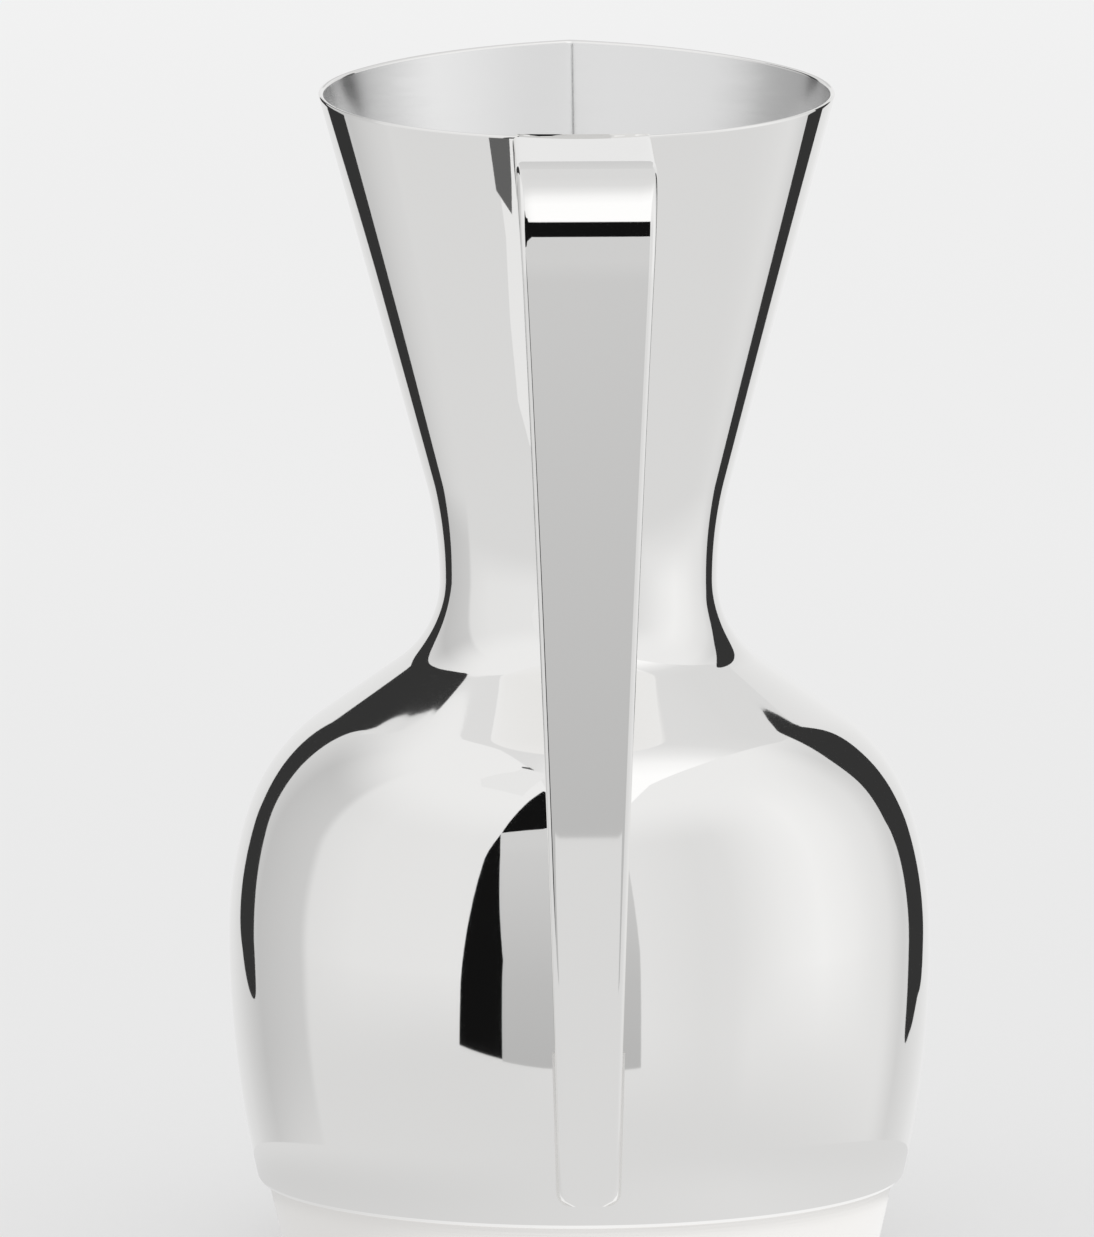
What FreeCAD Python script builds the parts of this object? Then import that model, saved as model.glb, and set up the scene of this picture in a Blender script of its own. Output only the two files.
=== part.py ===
"""Silver water pitcher: belly, flaring neck with a pinched lip, base, foot band and strap handle.

Frame: millimetres, +Z up, origin on the pitcher's axis in the plane it stands on.
The handle points to -Y and the pouring lip to +Y.
"""

import FreeCAD, Part
import math
import os

import Sketcher

Vector = FreeCAD.Vector
doc = FreeCAD.newDocument("water_pitcher")

# ---------------------------------------------------------------- driving dimensions

SIZES = {
    # sheet metal and joints
    "wall": 1.0,  # thickness of the body and neck sheet
    "joint": 0.2,  # thickness of a solder joint
    "fillet_leg": 2.0,  # size of the larger solder fillets
    "seam": 0.5,  # height and width of the solder line round the handle's lower end
    "seam_height": 50.0,  # where that line ends
    # foot band
    "foot_height": 13.5,
    "foot_top_radius": 64.8,
    "foot_bottom_radius": 61.9,
    "foot_wall": 1.8,
    "foot_edge_round": 0.3,
    # base plate
    "plate_wall": 1.4,
    "plate_dome": 3.0,  # rise of the plate at its middle
    "plate_flat_radius": 52.0,  # where the flat rim of the plate begins
    "plate_blank_radius": 68.0,  # rough disc, before it is trimmed to the wall
    # belly and shoulder
    "bottom_round": 0.8,  # rounding of the bottom edge
    "belly_radius": 72.5,
    "belly_height": 64.0,
    "lower_curve": 224.0,  # radius of the nearly straight wall below the belly line
    "upper_curve": 85.0,  # radius just above the belly line
    "shoulder_curve": 40.0,
    "shoulder_slope": 55.3,  # degrees between the shoulder's straight part and the axis
    # throat and neck
    "throat_radius": 28.6,
    "throat_height": 137.6,
    "throat_curve": 20.0,  # radius under the throat
    "neck_curve": 76.4,  # radius above the throat
    "flare": 15.2,  # degrees between the neck's side and the axis
    # rim and lip
    "rim_height": 237.6,  # on the axis
    "rim_tilt": 7.3,  # degrees, rising towards the lip
    "blank_height": 255.0,  # the flared blank, before the rim is trimmed
    "lip_reach": 10.5,  # beyond the round neck, at the blank's top
    "lip_spread": 60.0,  # degrees each side of the crease
    # handle
    "strap_thick": 4.5,
    "strap_width": 27.9,
    "strap_start": 45.0,  # distance of its hidden start from the axis
    "strap_flat": 78.0,  # distance from the axis to where the top bends down
    "bend_radius": 20.0,
    "end_height": 18.9,
    "end_reach": 71.4,  # outer face of the lower end, from the axis
    "end_thick": 3.2,
    "end_width": 12.0,
    "taper_height": 227.6,  # the strap narrows below this height
    "strap_edge": 1.3,  # rounding of the four long edges
    "ease": 120.0,  # radius that leads from the parallel sides into the tapering ones
    "waist": 0.7,  # how far each tapering side bows inwards
    "end_corner": 2.5,
}

sheet = doc.addObject("Spreadsheet::Sheet", "Sizes")
for row, (alias, value) in enumerate(SIZES.items(), start=1):
    sheet.set(f"A{row}", alias)
    sheet.set(f"B{row}", str(value))
    sheet.setAlias(f"B{row}", alias)
doc.recompute()


def size(alias):
    """The sheet's value under this alias, as a number."""
    return float(getattr(sheet, alias))


def cell(expression):
    """An expression in which every alias is written out as a cell of the sheet."""
    words = expression.split()
    return " ".join(f"Sizes.{word}" if word in SIZES else word for word in words)


def point(x, y):
    return Vector(x, y, 0)


# ---------------------------------------------------------------- sketch helpers

START, END, CENTRE = 1, 2, 3
ORIGIN = (-1, 1)
V_AXIS = -2


def new_body(name):
    return doc.addObject("PartDesign::Body", name)


def new_sketch(body, role, name, height=None):
    """A sketch on one of the body's origin planes, raised by an expression if one is given."""
    plane = next(item for item in body.Origin.OriginFeatures if item.Role == role)
    sketch = body.newObject("Sketcher::SketchObject", name)
    sketch.AttachmentSupport = [(plane, "")]
    sketch.MapMode = "FlatFace"
    if height:
        sketch.setExpression("AttachmentOffset.Base.z", cell(height))
    return sketch


def bind(sketch, kind, *where, value, expression):
    """Adds a dimension to the sketch and binds it to the sheet."""
    index = sketch.addConstraint(Sketcher.Constraint(kind, *where, value))
    sketch.setExpression(f"Constraints[{index}]", cell(expression))


def set_x(sketch, geometry, vertex, value, expression):
    """Places a vertex to the right of the sketch's origin by a positive distance."""
    bind(sketch, "DistanceX", *ORIGIN, geometry, vertex, value=value, expression=expression)


def set_left(sketch, geometry, vertex, value, expression):
    """Places a vertex to the left of the sketch's origin by a positive distance."""
    bind(sketch, "DistanceX", geometry, vertex, *ORIGIN, value=value, expression=expression)


def set_y(sketch, geometry, vertex, value, expression):
    bind(sketch, "DistanceY", *ORIGIN, geometry, vertex, value=value, expression=expression)


def set_radius(sketch, geometry, value, expression):
    bind(sketch, "Radius", geometry, value=value, expression=expression)


def join(sketch, first, first_vertex, second, second_vertex, kind="Coincident"):
    sketch.addConstraint(
        Sketcher.Constraint(kind, first, first_vertex, second, second_vertex)
    )


def on_axis(sketch, geometry, vertex):
    sketch.addConstraint(Sketcher.Constraint("PointOnObject", geometry, vertex, V_AXIS))


def add_line(sketch, start, end):
    return sketch.addGeometry(Part.LineSegment(start, end), False)


def add_arc(sketch, centre, radius, first, last):
    """An arc that runs counter-clockwise between two angles in radians."""
    circle = Part.Circle(centre, Vector(0, 0, 1), radius)
    return sketch.addGeometry(Part.ArcOfCircle(circle, first, last), False)


def polygon(sketch, corners):
    """A closed polygon; returns its sides in order."""
    count = len(corners)
    lines = [add_line(sketch, corners[i], corners[(i + 1) % count]) for i in range(count)]
    for i in range(count):
        join(sketch, lines[i], END, lines[(i + 1) % count], START)
    return lines


def revolve(body, sketch, name):
    feature = body.newObject("PartDesign::Revolution", name)
    feature.Profile = sketch
    feature.ReferenceAxis = (sketch, ["V_Axis"])
    feature.Angle = 360
    return feature


def arc_point(centre, radius, angle):
    return centre + radius * point(math.cos(angle), math.sin(angle))


# ---------------------------------------------------------------- forms of the vessel


def belly_sketch(body, inset, offset):
    """Half outline of the belly and shoulder, moved inwards by inset."""
    low, high = size("foot_height"), size("throat_height")
    lower, upper = size("lower_curve"), size("upper_curve")
    shoulder, under = size("shoulder_curve"), size("throat_curve")
    slope = math.radians(size("shoulder_slope"))
    normal = point(math.cos(slope), math.sin(slope))
    centre_lower = point(size("belly_radius") - lower, size("belly_height"))
    centre_upper = point(size("belly_radius") - upper, size("belly_height"))
    centre_under = point(size("throat_radius") + under, high)
    across = (centre_under - centre_upper).dot(normal) - shoulder - under
    turn = slope - math.acos(across / (upper - shoulder))
    centre_shoulder = arc_point(centre_upper, upper - shoulder, turn)
    first = -math.asin((size("belly_height") - low) / (lower - inset))

    sketch = new_sketch(body, "XZ_Plane", f"{body.Name}_belly_outline")
    wall = add_arc(sketch, centre_lower, lower - inset, first, 0)
    bulge = add_arc(sketch, centre_upper, upper - inset, 0, turn)
    round_off = add_arc(sketch, centre_shoulder, shoulder - inset, turn, slope)
    straight = add_line(
        sketch,
        centre_shoulder + (shoulder - inset) * normal,
        centre_under - (under + inset) * normal,
    )
    hollow = add_arc(sketch, centre_under, under + inset, math.pi, math.pi + slope)
    top = add_line(sketch, centre_under - point(under + inset, 0), point(0, high))
    axis = add_line(sketch, point(0, high), point(0, low))
    bottom = add_line(sketch, point(0, low), arc_point(centre_lower, lower - inset, first))

    join(sketch, wall, END, bulge, START, "Tangent")
    join(sketch, bulge, END, round_off, START, "Tangent")
    join(sketch, round_off, END, straight, START, "Tangent")
    join(sketch, straight, END, hollow, END, "Tangent")
    join(sketch, hollow, START, top, START)
    join(sketch, top, END, axis, START)
    join(sketch, axis, END, bottom, START)
    join(sketch, bottom, END, wall, START)
    on_axis(sketch, axis, START)
    on_axis(sketch, axis, END)
    sketch.addConstraint(Sketcher.Constraint("Horizontal", top))
    sketch.addConstraint(Sketcher.Constraint("Horizontal", bottom))

    belly = size("belly_height")
    set_left(sketch, wall, CENTRE, -centre_lower.x, "lower_curve - belly_radius")
    set_y(sketch, wall, CENTRE, belly, "belly_height")
    set_y(sketch, wall, END, belly, "belly_height")
    set_y(sketch, wall, START, low, "foot_height")
    set_radius(sketch, wall, lower - inset, f"lower_curve - ( {offset} )")
    set_radius(sketch, bulge, upper - inset, f"upper_curve - ( {offset} )")
    set_radius(sketch, round_off, shoulder - inset, f"shoulder_curve - ( {offset} )")
    set_radius(sketch, hollow, under + inset, f"throat_curve + ( {offset} )")
    set_x(sketch, hollow, CENTRE, centre_under.x, "throat_radius + throat_curve")
    set_y(sketch, hollow, CENTRE, high, "throat_height")
    set_y(sketch, hollow, START, high, "throat_height")
    bind(
        sketch, "Angle", straight, value=slope + math.pi / 2, expression="( shoulder_slope + 90 ) * 1deg"
    )
    return sketch


def throat_sketch(body, inset, offset):
    """Half outline of the curved part of the neck, up to where the straight flare starts."""
    low, curve = size("throat_height"), size("neck_curve")
    flare = math.radians(size("flare"))
    centre = point(size("throat_radius") + curve, low)
    radius = curve + inset
    start = arc_point(centre, radius, math.pi - flare)

    sketch = new_sketch(body, "XZ_Plane", f"{body.Name}_throat_outline")
    side = add_arc(sketch, centre, radius, math.pi - flare, math.pi)
    bottom = add_line(sketch, centre - point(radius, 0), point(0, low))
    axis = add_line(sketch, point(0, low), point(0, start.y))
    top = add_line(sketch, point(0, start.y), start)

    join(sketch, side, END, bottom, START)
    join(sketch, bottom, END, axis, START)
    join(sketch, axis, END, top, START)
    join(sketch, top, END, side, START)
    on_axis(sketch, axis, START)
    on_axis(sketch, axis, END)
    sketch.addConstraint(Sketcher.Constraint("Horizontal", top))
    sketch.addConstraint(Sketcher.Constraint("Horizontal", bottom))
    set_x(sketch, side, CENTRE, centre.x, "throat_radius + neck_curve")
    set_y(sketch, side, CENTRE, low, "throat_height")
    set_y(sketch, side, END, low, "throat_height")
    set_radius(sketch, side, radius, f"neck_curve + ( {offset} )")
    set_y(sketch, side, START, start.y, f"throat_height + ( neck_curve + {offset} ) * sin( flare )")
    return sketch


def lip_sketch(body, name, height, radius, reach):
    """One level of the flared neck: a circle drawn out on one side to a creased lip.

    height, radius and reach are pairs of a number and its expression.
    """
    level, level_cell = height
    round_radius, radius_cell = radius
    lip, lip_cell = reach
    spread = math.radians(size("lip_spread"))
    tip = round_radius + lip
    middle = round_radius - tip * math.cos(spread)
    side = (round_radius**2 + tip**2 - 2 * round_radius * tip * math.cos(spread)) / (2 * middle)
    shift = round_radius - side
    start = math.pi / 2 - spread
    right_centre = shift * point(math.cos(start), math.sin(start))
    left_centre = point(-right_centre.x, right_centre.y)
    peak = math.atan2(tip - right_centre.y, -right_centre.x)

    sketch = new_sketch(body, "XY_Plane", name, level_cell)
    back = add_arc(sketch, point(0, 0), round_radius, math.pi - start, 2 * math.pi + start)
    right = add_arc(sketch, right_centre, side, start, peak)
    left = add_arc(sketch, left_centre, side, math.pi - peak, math.pi - start)
    join(sketch, back, CENTRE, *ORIGIN)
    join(sketch, back, END, right, START, "Tangent")
    join(sketch, left, END, back, START, "Tangent")
    join(sketch, right, END, left, START)
    on_axis(sketch, right, END)
    half = f"( {radius_cell} ) * sin( lip_spread )"
    set_radius(sketch, back, round_radius, radius_cell)
    set_x(sketch, back, END, round_radius * math.sin(spread), half)
    set_left(sketch, back, START, round_radius * math.sin(spread), half)
    set_y(sketch, right, END, tip, f"{radius_cell} + {lip_cell}")
    return sketch


def flare_sections(body, inset, offset):
    """The two levels between which the neck flares: its start above the throat and the blank's top."""
    curve = size("neck_curve")
    flare = math.radians(size("flare"))
    low = size("throat_height") + (curve + inset) * math.sin(flare)
    high = size("blank_height")
    low_radius = size("throat_radius") + curve - (curve + inset) * math.cos(flare)
    high_radius = low_radius + (high - low) * math.tan(flare)
    low_cell = f"throat_height + ( neck_curve + {offset} ) * sin( flare )"
    low_radius_cell = f"throat_radius + neck_curve - ( neck_curve + {offset} ) * cos( flare )"
    high_radius_cell = f"{low_radius_cell} + ( blank_height - ( {low_cell} ) ) * tan( flare )"
    lower = lip_sketch(
        body, f"{body.Name}_flare_start", (low, low_cell), (low_radius, low_radius_cell), (0, "0")
    )
    upper = lip_sketch(
        body,
        f"{body.Name}_flare_top",
        (high, "blank_height"),
        (high_radius, high_radius_cell),
        (size("lip_reach"), "lip_reach"),
    )
    return lower, upper


def vessel_form(name, inset, offset):
    """The whole vessel as one filled solid, its surface moved inwards by inset."""
    body = new_body(name)
    revolve(body, belly_sketch(body, inset, offset), f"{name}_belly")
    doc.recompute()
    revolve(body, throat_sketch(body, inset, offset), f"{name}_throat")
    doc.recompute()
    lower, upper = flare_sections(body, inset, offset)
    doc.recompute()
    loft = body.newObject("PartDesign::AdditiveLoft", f"{name}_flare")
    loft.Profile = lower
    loft.Sections = [upper]
    loft.Ruled = True
    doc.recompute()
    return body


# ---------------------------------------------------------------- boolean helpers


def combine(kind, name, base, tool):
    """A Part::Cut or Part::Common of two objects."""
    result = doc.addObject(kind, name)
    result.Base = base
    result.Tool = tool
    return result


def cut(name, base, tool):
    return combine("Part::Cut", name, base, tool)


def common(name, base, tool):
    return combine("Part::Common", name, base, tool)


def drum(name, radius, low, height):
    """A cylinder on the axis; low and height are expressions."""
    cylinder = doc.addObject("Part::Cylinder", name)
    cylinder.setExpression("Radius", cell(radius))
    cylinder.setExpression("Height", cell(height))
    cylinder.setExpression("Placement.Base.z", cell(low))
    return cylinder


def rim_cutter():
    """A block whose lower face is the tilted plane of the rim."""
    block = doc.addObject("Part::Box", "rim_cutter")
    for side in ("Length", "Width"):
        block.setExpression(side, cell("3 * belly_radius"))
    block.setExpression("Height", cell("2 * belly_radius"))
    block.Placement = FreeCAD.Placement(Vector(), FreeCAD.Rotation(Vector(1, 0, 0), size("rim_tilt")))
    block.setExpression("Placement.Rotation.Angle", cell("rim_tilt * 1deg"))
    block.setExpression("Placement.Base.x", cell("-1.5 * belly_radius"))
    block.setExpression("Placement.Base.y", cell("-1.5 * belly_radius * cos( rim_tilt )"))
    block.setExpression(
        "Placement.Base.z", cell("rim_height - 1.5 * belly_radius * sin( rim_tilt )")
    )
    return block


# ---------------------------------------------------------------- base and foot


def plate_blank():
    """Pressed disc with a flat rim and a shallow dome, wider than the body's inside."""
    low, thick = size("foot_height"), size("plate_wall")
    flat, rise = size("plate_flat_radius"), size("plate_dome")
    outer = size("plate_blank_radius")
    dome = (flat**2 + rise**2) / (2 * rise)
    angle = math.asin(flat / dome)

    body = new_body("plate_blank")
    sketch = new_sketch(body, "XZ_Plane", "plate_outline")
    arcs = []
    for step in (0, thick):
        centre = point(0, low + step + rise - dome)
        arcs.append(add_arc(sketch, centre, dome, math.pi / 2 - angle, math.pi / 2))
    under, over = arcs
    underside = add_line(sketch, point(flat, low), point(outer, low))
    edge = add_line(sketch, point(outer, low), point(outer, low + thick))
    topside = add_line(sketch, point(outer, low + thick), point(flat, low + thick))
    axis = add_line(sketch, point(0, low + rise + thick), point(0, low + rise))
    join(sketch, under, START, underside, START)
    join(sketch, underside, END, edge, START)
    join(sketch, edge, END, topside, START)
    join(sketch, topside, END, over, START)
    join(sketch, over, END, axis, START)
    join(sketch, axis, END, under, END)
    for arc in arcs:
        on_axis(sketch, arc, CENTRE)
        on_axis(sketch, arc, END)
        set_x(sketch, arc, START, flat, "plate_flat_radius")
    sketch.addConstraint(Sketcher.Constraint("Vertical", edge))
    set_y(sketch, under, START, low, "foot_height")
    set_y(sketch, underside, END, low, "foot_height")
    set_x(sketch, underside, END, outer, "plate_blank_radius")
    set_y(sketch, edge, END, low + thick, "foot_height + plate_wall")
    set_y(sketch, over, START, low + thick, "foot_height + plate_wall")
    set_y(sketch, under, END, low + rise, "foot_height + plate_dome")
    set_y(sketch, over, END, low + rise + thick, "foot_height + plate_dome + plate_wall")
    revolve(body, sketch, "plate_disc")
    doc.recompute()
    return body


def round_bottom(body, height, radius):
    """Rounds the circular edges that lie at a height."""
    base = body.Tip
    names = []
    for index, edge in enumerate(base.Shape.Edges, start=1):
        box = edge.BoundBox
        if abs(box.ZMin - height) < 1e-3 and abs(box.ZMax - height) < 1e-3:
            names.append(f"Edge{index}")
    rounding = body.newObject("PartDesign::Fillet", f"{body.Name}_rounding")
    rounding.Base = (base, names)
    rounding.setExpression("Radius", cell(radius))
    doc.recompute()


def foot_band():
    """Tapering band that the pitcher stands on."""
    top = size("foot_height") - size("joint")
    wide, narrow = size("foot_top_radius"), size("foot_bottom_radius")
    thick = size("foot_wall")
    body = new_body("foot_band")
    sketch = new_sketch(body, "XZ_Plane", "foot_outline")
    outer, upper, inner, lower = polygon(
        sketch,
        [point(narrow, 0), point(wide, top), point(wide - thick, top), point(narrow - thick, 0)],
    )
    sketch.addConstraint(Sketcher.Constraint("Horizontal", upper))
    sketch.addConstraint(Sketcher.Constraint("PointOnObject", outer, START, -1))
    sketch.addConstraint(Sketcher.Constraint("PointOnObject", lower, START, -1))
    set_x(sketch, outer, START, narrow, "foot_bottom_radius")
    set_x(sketch, outer, END, wide, "foot_top_radius")
    set_y(sketch, outer, END, top, "foot_height - joint")
    set_x(sketch, upper, END, wide - thick, "foot_top_radius - foot_wall")
    set_x(sketch, inner, END, narrow - thick, "foot_bottom_radius - foot_wall")
    revolve(body, sketch, "foot_ring")
    doc.recompute()
    round_bottom(body, 0, "foot_edge_round")
    return body


# ---------------------------------------------------------------- handle


def strap_side_sketch(body):
    """Side view of the strap: flush with the rim, bent over, then down to the belly."""
    tilt = math.radians(size("rim_tilt"))
    thick, end_thick = size("strap_thick"), size("end_thick")
    bend = size("bend_radius")
    down = point(math.sin(tilt), -math.cos(tilt))

    def rim_point(distance):
        return point(-distance, size("rim_height") - distance * math.tan(tilt))

    begin = rim_point(size("strap_start"))
    turn = rim_point(size("strap_flat"))
    centre = turn + bend * down
    outer_end = point(-size("end_reach"), size("end_height"))
    gap = centre - outer_end
    lean = math.atan2(gap.y, gap.x) + math.asin(bend / gap.Length) + math.pi / 2
    normal = point(math.cos(lean), math.sin(lean))
    outer_low = centre + bend * normal
    inner_low = centre + (bend - thick) * normal
    inner_end = outer_end + point(end_thick, 0)
    top_angle = math.atan2(-down.y, -down.x)
    low_angle = lean % (2 * math.pi)

    sketch = new_sketch(body, "YZ_Plane", "strap_side")
    top = add_line(sketch, begin, turn)
    outer_bend = add_arc(sketch, centre, bend, top_angle, low_angle)
    outer_run = add_line(sketch, outer_low, outer_end)
    end = add_line(sketch, outer_end, inner_end)
    inner_run = add_line(sketch, inner_end, inner_low)
    inner_bend = add_arc(sketch, centre, bend - thick, top_angle, low_angle)
    under = add_line(sketch, turn + thick * down, begin + thick * down)
    start = add_line(sketch, begin + thick * down, begin)

    join(sketch, top, END, outer_bend, START, "Tangent")
    join(sketch, outer_bend, END, outer_run, START, "Tangent")
    join(sketch, outer_run, END, end, START)
    join(sketch, end, END, inner_run, START)
    join(sketch, inner_run, END, inner_bend, END, "Tangent")
    join(sketch, inner_bend, START, under, START, "Tangent")
    join(sketch, under, END, start, START)
    join(sketch, start, END, top, START)
    join(sketch, inner_bend, CENTRE, outer_bend, CENTRE)
    sketch.addConstraint(Sketcher.Constraint("Horizontal", end))
    sketch.addConstraint(Sketcher.Constraint("Perpendicular", start, top))
    rim_line = "rim_height - {0} * tan( rim_tilt )"
    for vertex, alias in ((START, "strap_start"), (END, "strap_flat")):
        set_left(sketch, top, vertex, size(alias), alias)
        spot = rim_point(size(alias))
        set_y(sketch, top, vertex, spot.y, rim_line.format(alias))
    set_radius(sketch, outer_bend, bend, "bend_radius")
    set_radius(sketch, inner_bend, bend - thick, "bend_radius - strap_thick")
    set_left(sketch, outer_run, END, size("end_reach"), "end_reach")
    set_y(sketch, outer_run, END, size("end_height"), "end_height")
    set_left(sketch, inner_run, START, size("end_reach") - end_thick, "end_reach - end_thick")
    return sketch


def strap_flank(sketch, right, margin, margin_cell):
    """One flank of the strap's front view: parallel, eased into a bowed taper, round at its end.

    Returns the straight line at the top, the arc at the end and that arc's lowest vertex.
    """
    sign, place = (1, set_x) if right else (-1, set_left)
    high = size("taper_height")
    wide, narrow = size("strap_width") / 2 + margin, size("end_width") / 2 + margin
    ease, corner = size("ease"), size("end_corner") + margin
    corner_height = size("end_height") + size("end_corner")
    waist_height = (high + corner_height) / 2

    crest = point(sign * wide, high)
    waist = point(sign * ((wide + narrow) / 2 - size("waist")), waist_height)
    foot = point(sign * narrow, corner_height)
    circle = Part.Arc(crest, waist, foot).toShape().Curve
    hub, radius = circle.Center, circle.Radius
    ease_height = hub.y + math.sqrt((radius + ease) ** 2 - (abs(hub.x) - wide + ease) ** 2)
    rise = math.asin((ease_height - hub.y) / (radius + ease))
    fall = math.asin((hub.y - corner_height) / radius)
    ease_hub = point(sign * (wide - ease), ease_height)
    corner_hub = point(sign * (narrow - corner), corner_height)
    straight = add_line(sketch, point(sign * wide, size("rim_height")), point(sign * wide, ease_height))
    if right:
        lead = add_arc(sketch, ease_hub, ease, -rise, 0)
        bow = add_arc(sketch, hub, radius, math.pi - rise, math.pi + fall)
        round_off = add_arc(sketch, corner_hub, corner, 1.5 * math.pi, 2 * math.pi)
        above, below = START, END
    else:
        lead = add_arc(sketch, ease_hub, ease, math.pi, math.pi + rise)
        bow = add_arc(sketch, hub, radius, -fall, rise)
        round_off = add_arc(sketch, corner_hub, corner, math.pi, 1.5 * math.pi)
        above, below = END, START

    join(sketch, straight, END, lead, below, "Tangent")
    join(sketch, lead, above, bow, above, "Tangent")
    join(sketch, bow, below, round_off, below)
    join(sketch, round_off, CENTRE, round_off, above, "Vertical")
    sketch.addConstraint(Sketcher.Constraint("Vertical", straight))
    half_width = f"strap_width / 2 + {margin_cell}"
    place(sketch, straight, START, wide, half_width)
    set_radius(sketch, lead, ease, "ease")
    marks = (
        (crest, half_width, "taper_height"),
        (
            waist,
            f"( strap_width + end_width ) / 4 + {margin_cell} - waist",
            "( taper_height + end_height + end_corner ) / 2",
        ),
    )
    for spot, across, up in marks:
        mark = sketch.addGeometry(Part.Point(spot), True)
        sketch.addConstraint(Sketcher.Constraint("PointOnObject", mark, START, bow))
        place(sketch, mark, START, abs(spot.x), across)
        set_y(sketch, mark, START, spot.y, up)
    place(sketch, bow, below, narrow, f"end_width / 2 + {margin_cell}")
    set_y(sketch, bow, below, corner_height, "end_height + end_corner")
    place(sketch, round_off, CENTRE, narrow - corner, "end_width / 2 - end_corner")
    set_y(sketch, round_off, CENTRE, corner_height, "end_height + end_corner")
    return straight, round_off, above


def strap_front_sketch(body, margin, margin_cell):
    """Front view of the strap, widened by a margin: parallel above, tapering to a round-cornered end."""
    sketch = new_sketch(body, "XZ_Plane", f"{body.Name}_outline")
    flanks = [strap_flank(sketch, right, margin, margin_cell) for right in (True, False)]
    (right_side, right_round, right_low), (left_side, left_round, left_low) = flanks
    high, low = size("rim_height"), size("end_height") - margin
    half_top = size("strap_width") / 2 + margin
    half_bottom = size("end_width") / 2 - size("end_corner")
    bottom = add_line(sketch, point(-half_bottom, low), point(half_bottom, low))
    top = add_line(sketch, point(half_top, high), point(-half_top, high))
    join(sketch, bottom, END, right_round, right_low)
    join(sketch, bottom, START, left_round, left_low)
    join(sketch, top, START, right_side, START)
    join(sketch, top, END, left_side, START)
    sketch.addConstraint(Sketcher.Constraint("Horizontal", top))
    set_y(sketch, top, START, high, "rim_height")
    return sketch


def front_pad(name, margin, margin_cell):
    """The strap's front view as a slab that reaches from the axis past its outer face."""
    body = new_body(name)
    outline = strap_front_sketch(body, margin, margin_cell)
    doc.recompute()
    pad = body.newObject("PartDesign::Pad", f"{name}_slab")
    pad.Profile = outline
    pad.setExpression("Length", cell("strap_flat + 2 * bend_radius"))
    doc.recompute()
    return body


def side_pad():
    """The strap's side view, extruded to its full width."""
    body = new_body("strap_bar")
    outline = strap_side_sketch(body)
    doc.recompute()
    pad = body.newObject("PartDesign::Pad", "strap_slab")
    pad.Profile = outline
    pad.SideType = "Symmetric"
    pad.setExpression("Length", cell("strap_width"))
    doc.recompute()
    return body


def long_edges(shape):
    """Numbers of the edges that run along the strap's four corners."""
    crosswise = size("strap_width") / 3
    beside = size("end_width") / 2 - size("waist")
    shortest = size("strap_thick") + size("wall")
    numbers = []
    for number, edge in enumerate(shape.Edges, start=1):
        middle = edge.valueAt((edge.FirstParameter + edge.LastParameter) / 2)
        lengthwise = edge.BoundBox.XLength < crosswise and edge.Length > shortest
        hidden = middle.y > -size("strap_start") - size("wall")
        if lengthwise and abs(middle.x) > beside and not hidden:
            numbers.append(number)
    return numbers


def strap_handle(vessel):
    """The strap, its corners rounded, cut to sit exactly on the neck and on the belly."""
    bar = common("strap_whole", side_pad(), front_pad("strap_front", 0, "0"))
    doc.recompute()
    rounded = doc.addObject("Part::Fillet", "strap_rounded")
    rounded.Base = bar
    radius = size("strap_edge")
    rounded.Edges = [(number, radius, radius) for number in long_edges(bar.Shape)]
    return cut("handle", rounded, vessel)


# ---------------------------------------------------------------- solder joints


def foot_solder(band):
    """Seam between the base plate and the foot band, with a fillet inside the band."""
    top, gap = size("foot_height"), size("joint")
    outer = size("foot_top_radius")
    inner = outer - size("foot_wall") - size("fillet_leg")
    body = new_body("foot_seam")
    sketch = new_sketch(body, "XZ_Plane", "foot_seam_outline")
    edge, roof, slope, floor = polygon(
        sketch,
        [
            point(outer, top - gap),
            point(outer, top),
            point(inner, top),
            point(outer - size("foot_wall"), top - gap - size("fillet_leg")),
        ],
    )
    sketch.addConstraint(Sketcher.Constraint("Horizontal", roof))
    sketch.addConstraint(Sketcher.Constraint("Vertical", edge))
    set_x(sketch, edge, START, outer, "foot_top_radius")
    set_y(sketch, edge, START, top - gap, "foot_height - joint")
    set_y(sketch, edge, END, top, "foot_height")
    set_x(sketch, roof, END, inner, "foot_top_radius - foot_wall - fillet_leg")
    set_x(sketch, slope, END, outer - size("foot_wall"), "foot_top_radius - foot_wall")
    set_y(sketch, slope, END, top - gap - size("fillet_leg"), "foot_height - joint - fillet_leg")
    revolve(body, sketch, "foot_seam_ring")
    doc.recompute()
    return cut("foot_solder", body, band)


def throat_solder(cavity):
    """Ring inside the throat that bridges the seam between the body and the neck."""
    ring = drum("throat_ring", "throat_radius", "throat_height - fillet_leg", "2 * fillet_leg")
    bore = drum(
        "throat_bore",
        "throat_radius - wall - 2 * joint",
        "throat_height - 2 * fillet_leg",
        "4 * fillet_leg",
    )
    return cut("throat_solder", common("throat_fill", ring, cavity), bore)


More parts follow.
